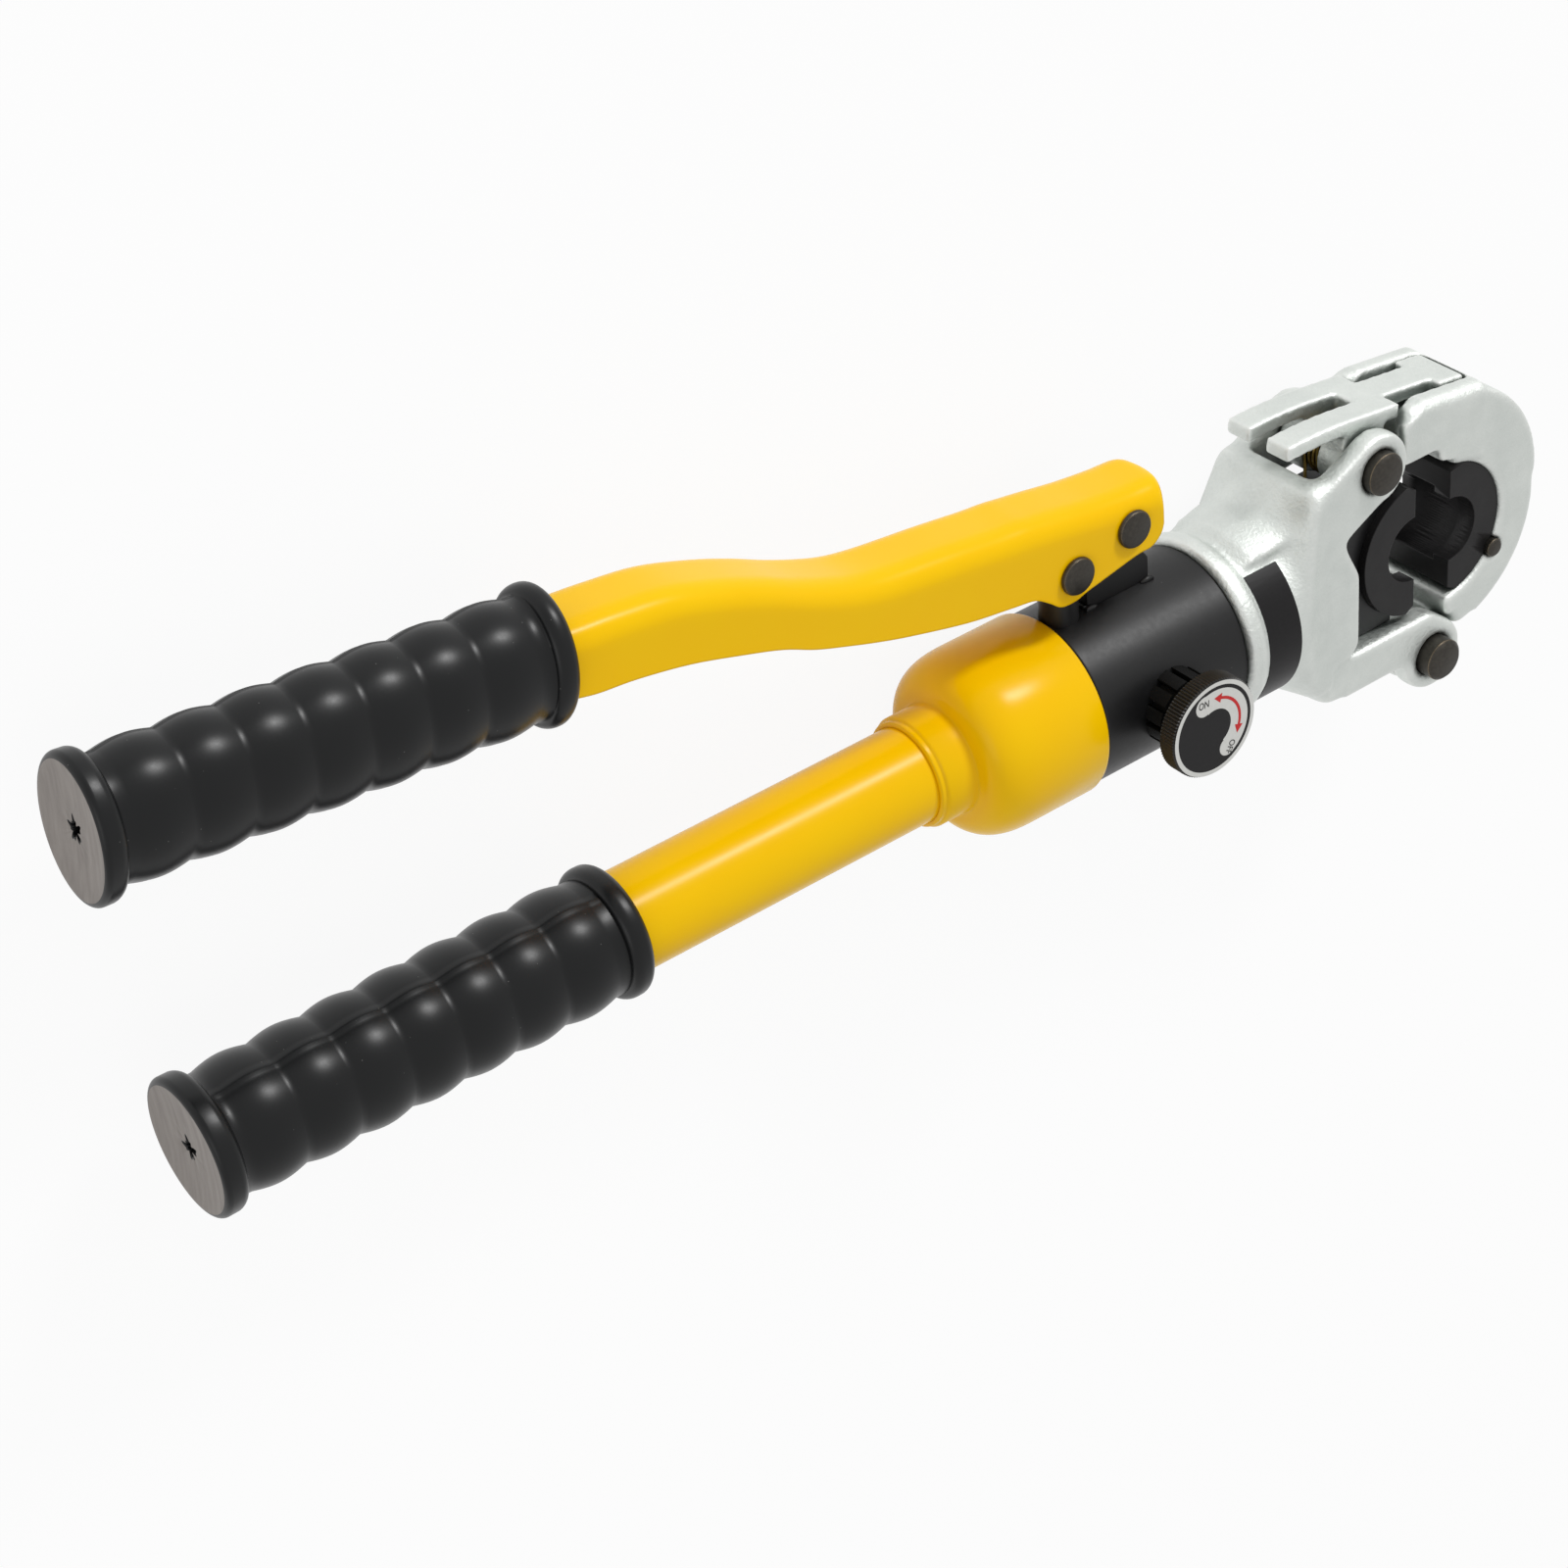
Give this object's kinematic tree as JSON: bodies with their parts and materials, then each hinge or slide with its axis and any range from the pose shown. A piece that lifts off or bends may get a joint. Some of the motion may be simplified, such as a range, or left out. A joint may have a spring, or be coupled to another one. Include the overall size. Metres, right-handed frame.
{
  "type": "hand-pumped hydraulic crimping tool",
  "caption": "Hand-pumped hydraulic crimping tool for pipe fittings: hinged C jaw with half dies, latch, pump lever, release knob and ribbed grips.",
  "frame": {"origin": "centre of the press groove on the fixed die's parting face, midway along the dies", "axes": "+X along the tool out of the head, +Y from the fixed handle towards the pump lever, +Z along the pressed pipe and the joint pins, towards the release knob"},
  "size_m": [0.4619, 0.1688, 0.0693],
  "materials": {
    "cast_steel": "zinc-plated cast steel, satin",
    "dark_steel": "blackened steel, dull",
    "die_steel": "black oxide on ground steel",
    "bright_steel": "ground bright steel",
    "spring_wire": "yellow-plated spring wire",
    "black_steel": "black satin coating",
    "yellow_paint": "yellow gloss powder coat",
    "grip": "satin moulded rubber",
    "knob": "black moulded plastic, knurled edge",
    "label": "printed film",
    "seal": "nitrile rubber"
  },
  "bodies": {
    "tool": {"head_yoke": "cast_steel", "head_label": "label", "head_set_screw": "dark_steel", "hinge_pin": "dark_steel", "latch_pin": "dark_steel", "pin_clips": "dark_steel", "latch_spring": "spring_wire", "return_spring": "bright_steel", "spring_seat": "bright_steel", "cylinder_body": "black_steel", "lever_bracket": "black_steel", "pump_barrel": "black_steel", "plunger_seal": "seal", "fulcrum_pin": "dark_steel", "reservoir_cover": "yellow_paint", "cover_seal": "seal", "handle_tube": "yellow_paint", "fixed_grip": "grip", "oil_bladder": "seal", "bladder_spout": "bright_steel", "valve_collar": "black_steel", "release_ball": "bright_steel", "relief_screw": "dark_steel", "relief_spring": "bright_steel", "relief_ball": "bright_steel", "intake_ball": "bright_steel", "outlet_ball": "bright_steel"},
    "lever": {"lever": "yellow_paint", "lever_grip": "grip", "plunger_pin": "dark_steel"},
    "plunger": {"pump_plunger": "bright_steel"},
    "ram": {"ram": "bright_steel", "ram_seal": "seal", "die_holder": "black_steel", "holder_screw": "dark_steel", "moving_die": "die_steel"},
    "jaw": {"swing_jaw": "cast_steel", "fixed_die": "die_steel", "jaw_button_spring": "bright_steel"},
    "die_button": {"jaw_die_button": "dark_steel"},
    "latch": {"latch": "cast_steel"},
    "knob": {"release_knob": "knob", "knob_label": "label", "release_spindle": "bright_steel", "spindle_seal": "seal"}
  },
  "joints": [
    {"name": "lever_swing", "type": "hinge", "parent": "tool", "child": "lever", "pos_m": [-0.1188, 0.0513, 0], "axis": [0, 0, -1], "range_deg": [0, 40]},
    {"name": "plunger_slide", "type": "slide", "parent": "tool", "child": "plunger", "axis": [0, 1, 0], "range_m": [0, 0.0146]},
    {"name": "ram_slide", "type": "slide", "parent": "tool", "child": "ram", "axis": [1, 0, 0], "range_m": [0, 0.0137], "deforming": ["return_spring"]},
    {"name": "jaw_swing", "type": "hinge", "parent": "tool", "child": "jaw", "pos_m": [-0.0081, -0.038, 0], "axis": [0, 0, -1], "range_deg": [0, 90]},
    {"name": "die_button_press", "type": "slide", "parent": "jaw", "child": "die_button", "axis": [0, 0, -1], "range_m": [0, 0.002], "stiffness_N_per_m": 400, "deforming": ["jaw_button_spring"]},
    {"name": "latch_lift", "type": "hinge", "parent": "tool", "child": "latch", "pos_m": [-0.0336, 0.036, 0], "axis": [0, 0, 1], "range_deg": [-2.5, 16]},
    {"name": "release_turn", "type": "hinge", "parent": "tool", "child": "knob", "pos_m": [-0.1172, 0, 0.041], "axis": [0, 0, 1], "range_deg": [0, 90]}
  ],
  "couplings": [
    {"joint": "plunger_slide", "follows": "lever_swing", "m_per_rad": 0.0206}
  ]
}
